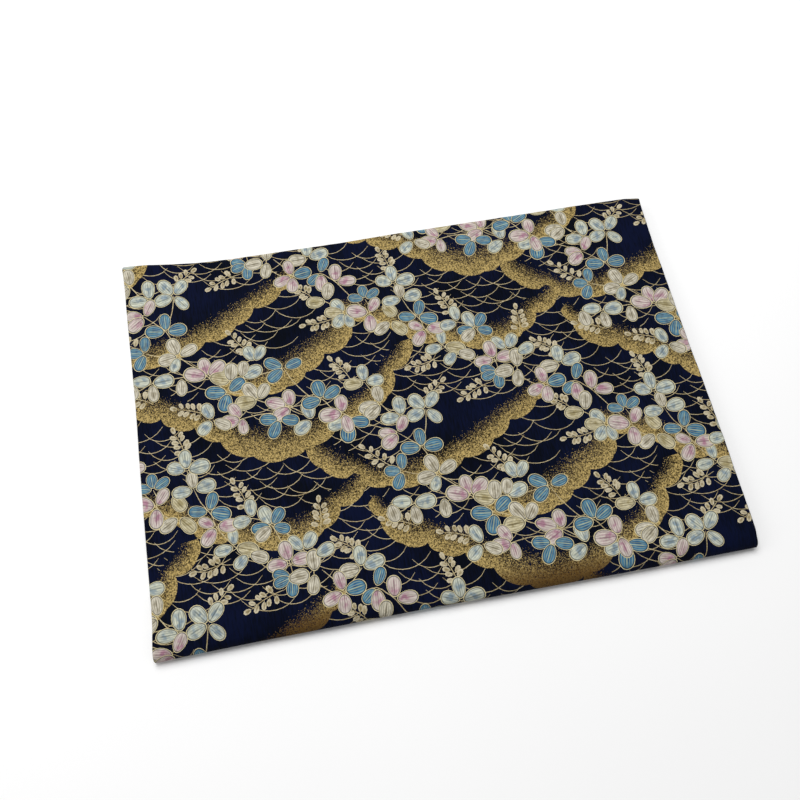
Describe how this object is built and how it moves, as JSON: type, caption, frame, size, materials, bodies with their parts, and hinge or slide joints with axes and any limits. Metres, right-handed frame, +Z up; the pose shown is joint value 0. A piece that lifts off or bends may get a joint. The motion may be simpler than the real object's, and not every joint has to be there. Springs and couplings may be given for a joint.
{
  "type": "folded furoshiki",
  "caption": "Printed cotton wrapping cloth, folded in half and then in thirds into a flat oblong stack of layers with a round near fold.",
  "frame": {"origin": "on the floor, under the middle of the folded stack's box", "axes": "+Z up out of the face, +X along the long side to the right, +Y away from the viewer; the side fold is at -X, the free side edges at +X and the round fold at -Y"},
  "size_m": [0.3428, 0.2428, 0.0087],
  "materials": {
    "printed_cotton": "plain-woven navy cotton with a leaf, cloud and net print in gold, blue, cream and pink"
  },
  "bodies": {
    "root": {"cloth": "printed_cotton"}
  },
  "joints": []
}
